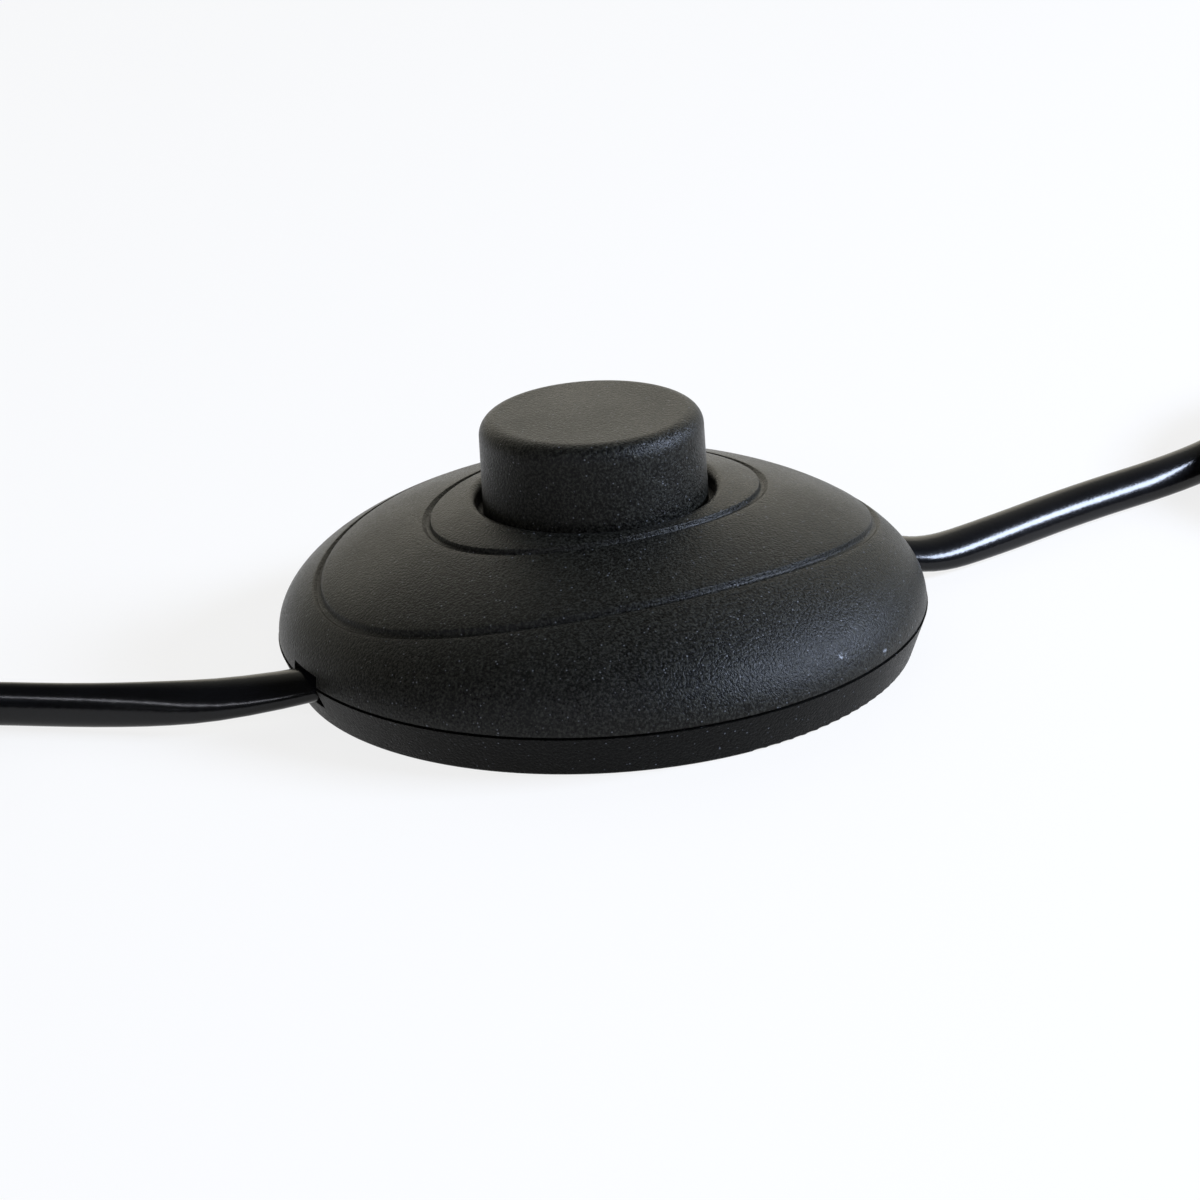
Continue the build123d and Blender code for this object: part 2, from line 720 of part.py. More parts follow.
# Cord routes: out of the notch, down to the floor and on to the coil
UP = (0, 0, 1)
SIDE = (0, 1, 0)
supply_route = [
    (-jacket_end, 0, cord_z),
    (-housing_radius - 5.4, 0, cord_z),
    (-59.3, 9.8, 3.1),
    (-76.0, 23.4, cord_width / 2),
    (-89.0, 31.9, cord_width / 2),
    (-102.0, 39.9, cord_width / 2),
]
supply_lead_route = [
    (-94.5, 34.6, 8.1),
    (-106.9, 43.4, 9.6),
    (-122.0, 44.5, 13.0),
    (-135.2, 37.8, 16.4),
    (-142.8, 25.0, 17.65),
    (-142.8, 10.2, 17.65),
]
lamp_route = [
    (jacket_end, 0, cord_z),
    (housing_radius + 2.5, 0, cord_z),
    (54.5, -0.6, cord_width / 2),
    (72.0, 3.2, cord_width / 2),
    (90.0, 5.2, cord_width / 2),
    (104.0, 11.0, cord_width / 2),
    (116.7, 17.3, cord_width / 2),
]
lamp_lead_route = [
    (110.6, 14.5, 8.1),
    (122.9, 20.1, 9.3),
    (136.4, 19.2, 11.4),
    (147.8, 12.1, 12.5),
    (154.5, 0.4, 12.5),
]
keep(cord_tube(supply_route, SIDE, UP), "supply_cord")
keep(cord_tube(lamp_route, SIDE, UP), "lamp_cord")
keep(cord_tube(supply_lead_route, UP, UP), "supply_lead")
keep(cord_tube(lamp_lead_route, UP, (0.867, 0.496, 0)), "lamp_lead")
keep(coil(supply_coil_at, supply_coil_turns), "supply_coil")
keep(coil(lamp_coil_at, lamp_coil_turns), "lamp_coil")

# Plug on top of the supply coil, its pins pointing away from the cord
neck_x, neck_y, plug_z = supply_lead_route[-1]
front = Plane((neck_x, neck_y - plug_length, plug_z), x_dir=(1, 0, 0), z_dir=(0, 1, 0))
with BuildPart() as plug_body:
    with BuildSketch(front.offset(plug_grip)):
        face = Rectangle(plug_width, plug_height)
        chamfer(face.vertices(), plug_corner)
    with BuildSketch(front.offset(plug_length - plug_neck[2])):
        face = Rectangle(plug_neck[0], plug_neck[1])
        chamfer(face.vertices(), plug_neck[1] / 4)
    loft()
    with BuildSketch(front.offset(plug_grip)):
        face = Rectangle(plug_width, plug_height)
        chamfer(face.vertices(), plug_corner)
    extrude(amount=-plug_grip)
    with BuildSketch(front.offset(plug_length - plug_neck[2])):
        Ellipse(plug_sleeve_root[0] / 2, plug_sleeve_root[1] / 2)
    with BuildSketch(front.offset(plug_length)):
        Ellipse(plug_sleeve_tip[0] / 2, plug_sleeve_tip[1] / 2)
    loft()
    with BuildSketch(front):
        with GridLocations(plug_pin_spacing, 0, 2, 1):
            Circle(plug_sleeve[0])
    extrude(amount=plug_pin_root, mode=Mode.SUBTRACT)
keep(plug_body.part, "plug_body")

with BuildPart() as plug_pins:
    with BuildSketch(front.offset(plug_pin_root)):
        with GridLocations(plug_pin_spacing, 0, 2, 1):
            Circle(plug_sleeve[0] - plug_sleeve[2])
    extrude(amount=-plug_pin_root - plug_sleeve[1])
    with BuildSketch(front.offset(-plug_sleeve[1])):
        with GridLocations(plug_pin_spacing, 0, 2, 1):
            Circle(plug_pin_radius)
    extrude(amount=plug_sleeve[1] - plug_pin_length)
    fillet(plug_pins.edges().group_by(Axis.Y)[0], plug_tip_round)
keep(plug_pins.part, "plug_pins")

with BuildPart() as plug_sleeves:
    with BuildSketch(front.offset(plug_pin_root)):
        with GridLocations(plug_pin_spacing, 0, 2, 1):
            Circle(plug_sleeve[0])
            Circle(plug_sleeve[0] - plug_sleeve[2], mode=Mode.SUBTRACT)
    extrude(amount=-plug_pin_root - plug_sleeve[1])
keep(plug_sleeves.part, "plug_sleeves")

# Stripped cores at the lamp end, bent along the coil that they lie on
end_x, end_y, end_z = lamp_lead_route[-1]
before_x, before_y, _ = lamp_lead_route[-2]
along = Vector(end_x - before_x, end_y - before_y).normalized()
across = along.cross(Vector(*UP))
tips = []
for name, side, bend in (("live_core_end", 1, 24), ("neutral_core_end", -1, 19)):
    points = [Vector(end_x, end_y, end_z) + across * (side * core_y)]
    for turn in range(stripped_runs):
        heading = along.rotate(Axis.Z, -bend * turn)
        step = heading * (stripped_length / stripped_runs) - Vector(0, 0, stripped_drop * turn)
        points.append(points[-1] + step)
    keep(core(points), name)
    with BuildPart() as bare_tip:
        with BuildSketch(Plane(points[-1], z_dir=points[-1] - points[-2])):
            Circle(conductor_radius)
        extrude(amount=bare_length)
    tips.append(bare_tip.part)
keep(Compound(tips), "conductor_tips")
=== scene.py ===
# %% [markdown]
# # An inline foot switch
# A floor lamp's foot switch: a black domed housing that a flat twin cord runs through, with a large
# press button on top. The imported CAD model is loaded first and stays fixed. Every piece below is
# made in metres in its frame: the floor is at z = 0, the cord leaves along X, and up is +Z.

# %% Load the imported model
import math

import bpy
from mathutils import Matrix, Vector


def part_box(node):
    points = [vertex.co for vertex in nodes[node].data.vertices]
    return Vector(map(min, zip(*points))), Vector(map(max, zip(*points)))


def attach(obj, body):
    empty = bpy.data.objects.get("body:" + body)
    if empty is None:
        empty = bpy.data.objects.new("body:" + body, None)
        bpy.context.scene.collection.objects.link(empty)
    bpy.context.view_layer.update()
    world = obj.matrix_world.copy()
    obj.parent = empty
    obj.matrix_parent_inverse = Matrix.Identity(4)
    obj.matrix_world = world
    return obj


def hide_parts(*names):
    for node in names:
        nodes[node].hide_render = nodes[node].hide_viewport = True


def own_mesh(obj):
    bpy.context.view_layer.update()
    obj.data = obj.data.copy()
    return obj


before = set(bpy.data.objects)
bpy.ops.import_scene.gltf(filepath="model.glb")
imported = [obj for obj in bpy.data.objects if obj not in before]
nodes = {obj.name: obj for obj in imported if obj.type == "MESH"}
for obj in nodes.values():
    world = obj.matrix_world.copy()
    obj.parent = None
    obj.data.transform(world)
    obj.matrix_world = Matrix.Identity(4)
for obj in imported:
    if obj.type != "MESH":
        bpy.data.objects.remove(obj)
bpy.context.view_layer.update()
MM = 0.001


# %% [markdown]
# ## The camera
# A photograph is matched by its camera before anything else, because every later comparison
# depends on it. The values below came from fitting a camera to the outline and the two grooves:
# it stands about half a metre away, about 21 degrees above the floor and 25 degrees to the left
# of the front, with a long lens, and it is rolled by a few degrees.

# %% Place the camera
PHOTO_PIXELS, FOCAL_PIXELS, SENSOR_MM = 1200, 4027.856, 36
elevation, azimuth, roll = (math.radians(v) for v in (21.495, -25.453, 3.597))
back = Vector((math.sin(azimuth) * math.cos(elevation), -math.cos(azimuth) * math.cos(elevation),
               math.sin(elevation)))
right = Vector((math.cos(azimuth), math.sin(azimuth), 0))
above = back.cross(right)
aside_mm, above_mm, back_mm = -0.252, 6.142, 498.586
eye = (right * aside_mm + above * above_mm + back * back_mm) * MM
across_view = right * math.cos(roll) - above * math.sin(roll)
up_view = right * math.sin(roll) + above * math.cos(roll)

camera = bpy.data.objects.new("camera", bpy.data.cameras.new("camera"))
bpy.context.scene.collection.objects.link(camera)
camera.matrix_world = Matrix((
    (across_view.x, up_view.x, back.x, eye.x),
    (across_view.y, up_view.y, back.y, eye.y),
    (across_view.z, up_view.z, back.z, eye.z),
    (0, 0, 0, 1),
))
camera.data.sensor_width = SENSOR_MM
camera.data.lens = SENSOR_MM * FOCAL_PIXELS / PHOTO_PIXELS
camera.data.clip_start = 0.02
bpy.context.scene.camera = camera
print("camera at, mm:", [round(v / MM) for v in eye], "lens", round(camera.data.lens, 1))


# %% [markdown]
# ## Colours and nodes
# Colours are written as sRGB hex, as a colour picker gives them, and turned to the linear values
# that Blender's sockets hold. One small function adds any node: settings go on the node, and each
# input gets either a value or the output that feeds it.

# %% Helpers for materials
def colour(code):
    """Linear RGBA of an sRGB hex colour such as "1C1B19"."""
    parts = [int(code[i:i + 2], 16) / 255 for i in (0, 2, 4)]
    return (*(p / 12.92 if p <= 0.04045 else ((p + 0.055) / 1.055) ** 2.4 for p in parts), 1)


def add(material, kind, inputs=None, **settings):
    """Adds a node, sets it up and returns it. An input is a value or an output socket."""
    node = material.node_tree.nodes.new("ShaderNode" + kind)
    for name, value in settings.items():
        setattr(node, name, value)
    for name, value in (inputs or {}).items():
        if isinstance(value, bpy.types.NodeSocket):
            material.node_tree.links.new(value, node.inputs[name])
        else:
            node.inputs[name].default_value = value
    return node


def new_material(name):
    """A material with its Principled shader, empty otherwise, and its Object coordinates."""
    material = bpy.data.materials.new(name)
    material.use_nodes = True
    shader = material.node_tree.nodes["Principled BSDF"]
    coords = add(material, "TexCoord").outputs["Object"]
    return material, shader, coords


def plug_in(material, shader, **inputs):
    """Sets or links the shader's own inputs, with underscores for the spaces in their names."""
    for name, value in inputs.items():
        socket = shader.inputs[name.replace("_", " ")]
        if isinstance(value, bpy.types.NodeSocket):
            material.node_tree.links.new(value, socket)
        else:
            socket.default_value = value


def ramp(material, feed, stops):
    """A colour ramp over (position, colour) stops."""
    node = add(material, "ValToRGB", {"Fac": feed})
    elements = node.color_ramp.elements
    while len(elements) < len(stops):
        elements.new(0.5)
    for element, (place, value) in zip(elements, stops):
        element.position, element.color = place, value
    return node.outputs["Color"]


def level(value):
    """A grey for a ramp that drives a number."""
    return (value, value, value, 1)


# %% [markdown]
# ## The two cords
# The lead is flat twin PVC cord with an oval section, 5.4 by 3.4 mm. It passes through the
# housing's notches lying flat, then turns on edge and runs along the floor: nearly upright on the
# plug's side, and leaning by about 45 degrees on the lamp's side. A cord is a single smooth line,
# so each side is one NURBS curve. Its control points follow the route of the CAD tubes, and the
# length that the photograph doesn't show is wound into a coil beyond the edge of the view. The
# curve carries the jacket's section, and its tilt turns the cord on edge. The section is drawn in
# millimetres, and the radius of each control point scales it to metres.

# %% The cord's section
cord_wide, cord_thick = 5.4, 3.4


def jacket_outline(steps):
    """The jacket's oval, in mm, wide along X. Its sides bulge, so it mirrors a lamp as a line."""
    angles = [math.tau * i / steps for i in range(steps)]
    return [(cord_wide / 2 * math.cos(a), cord_thick / 2 * math.sin(a)) for a in angles]


section_points = jacket_outline(steps=40)
section_curve = bpy.data.curves.new("cord_section", "CURVE")
section_curve.dimensions = "2D"
section_line = section_curve.splines.new("POLY")
section_line.points.add(len(section_points) - 1)
for point, (x, y) in zip(section_line.points, section_points):
    point.co = (x, y, 0, 1)
section_line.use_cyclic_u = True
cord_section = bpy.data.objects.new("cord_section", section_curve)
bpy.context.scene.collection.objects.link(cord_section)
cord_section.hide_render = True
cord_section.hide_viewport = True


# %% [markdown]
# A quadratic spline runs inside its control points, so a turn of the coil is given points on a
# slightly larger circle. The turns go inwards on the floor, climb, and come back outwards on top.

# %% Points of a coil
PER_TURN = 16


def coil_points(centre, start_angle, way, legs):
    """Points of a coil. Each leg is (turns, radius and height at its end); the first leg only
    gives the start. Way is 1 for anticlockwise seen from above."""
    widen = 1 / math.cos(math.pi / PER_TURN)
    angle, (_, radius, height) = start_angle, legs[0]
    points = []
    for turns, to_radius, to_height in legs[1:]:
        steps = max(1, round(turns * PER_TURN))
        for i in range(1, steps + 1):
            share = i / steps
            here = math.radians(angle + way * 360 * turns * share)
            r = (radius + (to_radius - radius) * share) * widen
            z = height + (to_height - height) * share
            points.append((centre[0] + r * math.cos(here), centre[1] + r * math.sin(here), z))
        angle, radius, height = angle + way * 360 * turns, to_radius, to_height
    return points


supply_route = [(-28.5, 0, 4.6), (-45.4, 0, 4.6), (-59.3, 10.7, 3.0), (-76.0, 24.6, 2.7),
                (-89.0, 32.6, 2.7), (-102.0, 39.9, 2.7)]
supply_coil = coil_points((-121.0, 10.6), 57, 1, [
    (0, 34.9, 2.7), (2, 24.1, 2.7), (1, 24.1, 8.1), (2.9, 34.7, 8.1)])
supply_lead = [(-94.5, 34.6, 8.1), (-106.9, 43.4, 9.6), (-122.0, 44.5, 13.0),
               (-135.2, 37.8, 16.4), (-142.8, 25.0, 17.65), (-142.8, 10.2, 17.65)]
lamp_route = [(28.5, 0, 4.6), (39.5, 0, 4.6), (45.5, -1.8, 2.6), (56.0, -0.2, 2.6),
              (72.0, 3.5, 2.6), (90.0, 5.6, 2.7), (104.0, 11.0, 2.7), (116.7, 17.3, 2.7)]
lamp_coil = coil_points((130.0, -12.0), 114.4, -1, [
    (0, 32.2, 2.7), (1, 26.0, 2.7), (1, 26.0, 8.1), (1.9, 32.4, 8.1)])
lamp_lead = [(110.6, 14.5, 8.1), (122.9, 20.1, 9.3), (136.4, 19.2, 11.4),
             (147.8, 12.1, 12.5), (154.5, 0.4, 12.5)]


# %% Draw the two cords
def cord_curve(name, points, tilts):
    """A NURBS cord over control points in mm. Tilts turn the section, one for each point, from 0
    lying flat to 90 on edge, and the last one holds for the rest of the cord."""
    curve = bpy.data.curves.new(name, "CURVE")
    curve.dimensions = "3D"
    curve.twist_mode = "Z_UP"
    curve.bevel_mode = "OBJECT"
    curve.bevel_object = cord_section
    curve.use_fill_caps = True
    curve.resolution_u = 6
    line = curve.splines.new("NURBS")
    line.points.add(len(points) - 1)
    for i, (point, place) in enumerate(zip(line.points, points)):
        point.co = (*(v * MM for v in place), 1)
        point.radius = MM
        point.tilt = math.radians(tilts[min(i, len(tilts) - 1)])
    line.order_u = 3
    line.use_endpoint_u = True
    piece = bpy.data.objects.new(name, curve)
    bpy.context.scene.collection.objects.link(piece)
    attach(piece, "housing")
    return piece


supply_cord = cord_curve("supply_side_cord", supply_route + supply_coil + supply_lead,
                         [0, -24, -80, -84, -80, -80, -90])
lamp_cord = cord_curve("lamp_side_cord", lamp_route + lamp_coil + lamp_lead,
                       [0, 8, 34, 45, 45, 50, 66, 84, 90])
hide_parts("supply_cord", "supply_coil", "supply_lead")
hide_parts("lamp_cord", "lamp_coil", "lamp_lead")


# %% [markdown]
# ## The top cover
# On the real switch this is one moulding: a low dome with a hole for the button, two oval grooves
# round it, and a thin wall with a guide collar inside. A lathe can't turn the ovals, so the cover
# is made of rings: a circle is extruded and stretched again and again, from the hole's lip over
# both grooves to the rim. It is drawn flat first, because a flat pattern is easy to lay out, and
# then each point is lifted onto the dome's curve. The loop goes on inside until the wall closes.

# %% The dome's curve
RING_POINTS = 256
cover_low, cover_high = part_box("top_cover")
housing_radius, parting_z = cover_high[0] / MM, cover_low[2] / MM
crown_height, crown_power, crown_roundness = 18.5, 1.3, 2.1
cover_wall = 2.2
hole_radius, lip_round = 14.6, 0.9
ledge_z, collar_z = 19.2, 13.0
INNER_CROWN_STEPS = 12
collar_inner, collar_outer = 15.8, 17.4


def crown_z(radius, inset=0.0):
    """Height of the dome's surface at a radius, in mm."""
    share = min(1.0, radius / (housing_radius - inset))
    return parting_z + (crown_height - inset) * (1 - share**crown_power) ** (1 / crown_roundness)


def crown_radius(rise, inset=0.0):
    """Radius at which the dome has risen by a share of its height."""
    return (housing_radius - inset) * (1 - rise**crown_roundness) ** (1 / crown_power)


print("the dome is", round(crown_z(hole_radius), 2), "mm high at its hole")


# %% The flat pattern: rings as (radius along X, radius along Y, height over the dome)
groove_width, groove_depth = 1.1, 0.60
inner_groove, outer_groove = (22.0, 17.6), (36.2, 28.8)
groove_section = [(-0.12, 0.0), (-0.03, 0.02), (0.02, 0.12), (0.06, 0.45), (0.12, 0.56),
                  (0.22, groove_depth), (0.50, groove_depth), (0.62, 0.54), (0.98, 0.12),
                  (1.08, 0.03), (1.22, 0.0)]


def groove_rings(semi_axes):
    """Rings across one groove, outwards: a crisp inner wall, a floor and a sloping outer side."""
    return [(semi_axes[0] - groove_width + out, semi_axes[1] - groove_width + out, -depth)
            for out, depth in groove_section]


def rings_between(start, end, count, ease=1):
    """Rings from one to the other, closer together towards the end where ease is over 1."""
    shares = [1 - (1 - i / count) ** ease for i in range(1, count)]
    return [tuple(a + (b - a) * share for a, b in zip(start, end)) for share in shares]


def lip_rings(steps=7):
    """The rounded lip of the hole, from the hole's wall to the dome."""
    middle, run = hole_radius + lip_round, 0.4
    slope = math.atan((crown_z(middle) - crown_z(middle + run)) / run)
    tangent = middle + lip_round * math.sin(slope)
    centre_z = crown_z(tangent) - lip_round * math.cos(slope)
    rings = []
    for i in range(steps + 1):
        angle = math.pi + (math.pi / 2 - slope - math.pi) * i / steps
        radius = middle + lip_round * math.cos(angle)
        rings.append((radius, radius, centre_z + lip_round * math.sin(angle) - crown_z(radius)))
    return rings


lip = lip_rings()
inner_edges, outer_edges = groove_rings(inner_groove), groove_rings(outer_groove)
# The rim stays a hair inside the full radius, where the dome's curve stands upright.
rim = (housing_radius - 0.001, housing_radius - 0.001, 0)
pattern = (lip + rings_between(lip[-1], inner_edges[0], 5) + inner_edges
           + rings_between(inner_edges[-1], outer_edges[0], 12) + outer_edges
           + rings_between(outer_edges[-1], rim, 30, ease=2) + [rim])
print("the pattern has", len(pattern), "rings")


# %% Draw rings by extruding and stretching a loop
def start_ring(name, first):
    """A circle in edit mode, stretched to the first ring."""
    bpy.ops.object.select_all(action="DESELECT")
    bpy.ops.mesh.primitive_circle_add(vertices=RING_POINTS, radius=first[0] * MM)
    piece = bpy.context.object
    piece.name = piece.data.name = name
    bpy.ops.object.mode_set(mode="EDIT")
    bpy.ops.mesh.select_all(action="SELECT")
    bpy.ops.transform.translate(value=(0, 0, first[2] * MM))
    return piece


def draw_rings(rings):
    """Extrudes the selected loop from each ring to the next."""
    for (from_x, from_y, from_z), (to_x, to_y, to_z) in zip(rings, rings[1:]):
        bpy.ops.mesh.extrude_region_move()
        bpy.ops.transform.resize(value=(to_x / from_x, to_y / from_y, 1),
                                 center_override=(0, 0, 0))
        bpy.ops.transform.translate(value=(0, 0, (to_z - from_z) * MM))


def close_shell():
    """Merges the loop's last ring with its first and turns all faces outwards."""
    bpy.ops.mesh.select_all(action="SELECT")
    bpy.ops.mesh.remove_doubles(threshold=0.003 * MM)
    bpy.ops.mesh.normals_make_consistent(inside=False)
    bpy.ops.object.mode_set(mode="OBJECT")


# %% Draw the cover
cover = start_ring("cover_dome", pattern[0])
draw_rings(pattern)
bpy.ops.object.mode_set(mode="OBJECT")
for vertex in cover.data.vertices:
    vertex.co.z += crown_z(math.hypot(vertex.co.x, vertex.co.y) / MM) * MM
bpy.ops.object.mode_set(mode="EDIT")
collar_rise = (crown_z(collar_outer, cover_wall) - parting_z) / (crown_height - cover_wall)
inner_crown = [(crown_radius(collar_rise * i / INNER_CROWN_STEPS, cover_wall),
                parting_z + (crown_height - cover_wall) * collar_rise * i / INNER_CROWN_STEPS)
               for i in range(INNER_CROWN_STEPS + 1)]
# From the rim, with its edge broken a little, up the wall, round the collar and in to the hole.
inside = [(rim[0], crown_z(rim[0])), (housing_radius - 0.03, parting_z + 0.04),
          (housing_radius - 0.12, parting_z)] + inner_crown + [
    (collar_outer, collar_z), (collar_inner, collar_z), (collar_inner, ledge_z),
    (hole_radius, ledge_z), (hole_radius, lip[0][2] + crown_z(hole_radius))]
draw_rings([(radius, radius, height) for radius, height in inside])
close_shell()
print("the cover has", len(cover.data.polygons), "faces")


# %% [markdown]
# The cover's bosses take the four screws from below, and ribs tie them to the collar. They are
# simple blocks that reach into the wall, so they are trimmed by a form that lies halfway through
# it. What is cut from the cover follows: the screws' pilot holes, the two key slots in the collar
# and the notches for the cord.

# %% Bosses, ribs and cuts
def block(size, place):
    """A box, in mm, given by its size and its centre."""
    bpy.ops.mesh.primitive_cube_add(size=1, location=[v * MM for v in place])
    bpy.context.object.scale = [v * MM for v in size]
    return bpy.context.object


def post(radius, place, low, high):
    """An upright cylinder between two heights, in mm."""
    bpy.ops.mesh.primitive_cylinder_add(
        vertices=48, radius=radius * MM, depth=(high - low) * MM,
        location=(place[0] * MM, place[1] * MM, (low + high) / 2 * MM))
    return bpy.context.object


def joined(pieces):
    """One object from several, with its place and scale in its mesh."""
    bpy.ops.object.select_all(action="DESELECT")
    for piece in pieces:
        piece.select_set(True)
    bpy.context.view_layer.objects.active = pieces[0]
    bpy.ops.object.join()
    bpy.ops.object.transform_apply(location=True, rotation=True, scale=True)
    return bpy.context.object


def combine(piece, other, operation):
    """Joins, trims or cuts a piece with another one, which is used up."""
    modifier = piece.modifiers.new("combine", "BOOLEAN")
    modifier.object, modifier.operation, modifier.solver = other, operation, "EXACT"
    modifier.use_self = operation == "INTERSECT"
    bpy.ops.object.select_all(action="DESELECT")
    piece.select_set(True)
    bpy.context.view_layer.objects.active = piece
    bpy.ops.object.modifier_apply(modifier=modifier.name)
    bpy.data.objects.remove(other)


boss_radius, boss_top, pilot_radius, pilot_depth = 3.4, 20, 1.35, 8.0
# Each rib runs from the collar's wall to a boss. Its middle lies at a share of the way from the
# switch's axis to the screw.
rib_width, rib_height, rib_setback, rib_middle = 1.2, 7, 0.8, 0.77
screw_circle, screw_angle = 30.4, math.radians(43.7)
key_slot, notch_width, notch_top = 3.4, 6.6, 6.9
corners = [(math.copysign(screw_circle * math.cos(screw_angle), sx),
            math.copysign(screw_circle * math.sin(screw_angle), sy))
           for sx in (-1, 1) for sy in (-1, 1)]
bpy.ops.object.select_all(action="DESELECT")
posts = []
for x, y in corners:
    posts.append(post(boss_radius, (x, y), parting_z, boss_top))
    rib = block((screw_circle - collar_inner - rib_setback, rib_width, rib_height),
                (x * rib_middle, y * rib_middle, collar_z + rib_height / 2))
    rib.rotation_euler.z = math.atan2(y, x)
    posts.append(rib)
bosses = joined(posts)
LINING_STEPS, LINING_TOP = 16, 0.985
half_wall = cover_wall / 2
lining_rises = [i / LINING_STEPS for i in range(LINING_STEPS)] + [LINING_TOP]
lining = start_ring("lining", (housing_radius - half_wall, housing_radius - half_wall,
                               parting_z))
bpy.ops.mesh.edge_face_add()
draw_rings([(crown_radius(rise, half_wall), crown_radius(rise, half_wall),
             parting_z + (crown_height - half_wall) * rise) for rise in lining_rises])
bpy.ops.mesh.edge_face_add()
close_shell()
combine(bosses, lining, "INTERSECT")
combine(cover, bosses, "UNION")
cuts = [post(pilot_radius, corner, parting_z - 1, parting_z + pilot_depth) for corner in corners]
cuts.append(block((key_slot, 2 * collar_outer, ledge_z - collar_z + 1),
                  (0, 0, (ledge_z + collar_z - 1) / 2)))
cuts.append(block((2 * housing_radius + 2, notch_width, 2 * (notch_top - parting_z)),
                  (0, 0, parting_z)))
combine(cover, joined(cuts), "DIFFERENCE")
bpy.ops.object.shade_smooth_by_angle(angle=math.radians(32))
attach(cover, "housing")
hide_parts("top_cover")
print("the finished cover has", len(cover.data.polygons), "faces")


# %% [markdown]
# ## The button's spring
# The real spring is wire wound on a mandrel, six turns of it, and it stands on the switch cup and
# shortens by the button's travel. A helix drawn as a line with a round section gives the wire. It
# is made again here in place of the imported solid, with a mesh of its own.

# %% Wind the spring
SPRING_TURNS, POINTS_PER_TURN = 6, 24
wire_radius, button_travel = 0.45 * MM, 5.0 * MM
spring_low, spring_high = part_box("button_spring")
wind_radius = (spring_high[0] - spring_low[0]) / 2 - wire_radius
foot_z, head_z = spring_low[2] + wire_radius, spring_high[2] - wire_radius
wire_curve = bpy.data.curves.new("wound_spring", "CURVE")
wire_curve.dimensions = "3D"
wire_curve.bevel_depth, wire_curve.bevel_resolution = wire_radius, 4
wire_curve.use_fill_caps = True
wire_line = wire_curve.splines.new("POLY")
wire_line.points.add(SPRING_TURNS * POINTS_PER_TURN)
for i, point in enumerate(wire_line.points):
    angle, share = math.tau * i / POINTS_PER_TURN, i / (SPRING_TURNS * POINTS_PER_TURN)
    point.co = (wind_radius * math.cos(angle), wind_radius * math.sin(angle),
                foot_z + (head_z - foot_z) * share, 1)
spring = bpy.data.objects.new("wound_spring", wire_curve)
bpy.context.scene.collection.objects.link(spring)
bpy.ops.object.select_all(action="DESELECT")
spring.select_set(True)
bpy.context.view_layer.objects.active = spring
bpy.ops.object.convert(target="MESH")
spring = bpy.context.object
bpy.ops.object.shade_smooth_by_angle(angle=math.radians(50))
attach(spring, "housing")
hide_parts("button_spring")
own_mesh(spring)
print("the spring is", round((spring_high[2] - spring_low[2]) / MM, 2), "mm high")


# %% [markdown]
# ## Finish: spark-eroded polyamide
# The housing and button are moulded black polyamide from a mould that was spark-eroded, which
# leaves a fine, even, pebbled grain. It scatters gloss, so faces that look up are a soft warm
# grey and the rest is nearly black, with a fine sparkle where a lamp is reflected. Besides that
# real sparkle, pale bluish dots are painted into the colour as painted glints. Real grain is
# about 0.15 mm, and it is drawn at about 0.3 mm here so that it shows. One noise gives the grain
# its height, its roughness and its colour. The housing has been handled: dust lies on it, and a
# few pale scuffs mark the places where it was knocked.

# %% Moulded black plastic
def masked_scuff(material, coords, place, reach, noise):
    """A mask of marks within a reach of a place, both in mm, broken up by a noise."""
    distance = add(material, "VectorMath", {0: coords, 1: [v * MM for v in place]},
                   operation="DISTANCE").outputs["Value"]
    near = add(material, "MapRange", {"Value": distance, "From Min": reach * MM, "From Max": 0.0,
                                      "To Min": 0.0, "To Max": 1.0}).outputs["Result"]
    broken = add(material, "Math", {0: near, 1: noise}, operation="MULTIPLY").outputs[0]
    return ramp(material, broken, [(0.40, level(0)), (0.50, level(1))])


GRAIN_MM, PLASTIC_ROUGHNESS = 0.32, 0.37


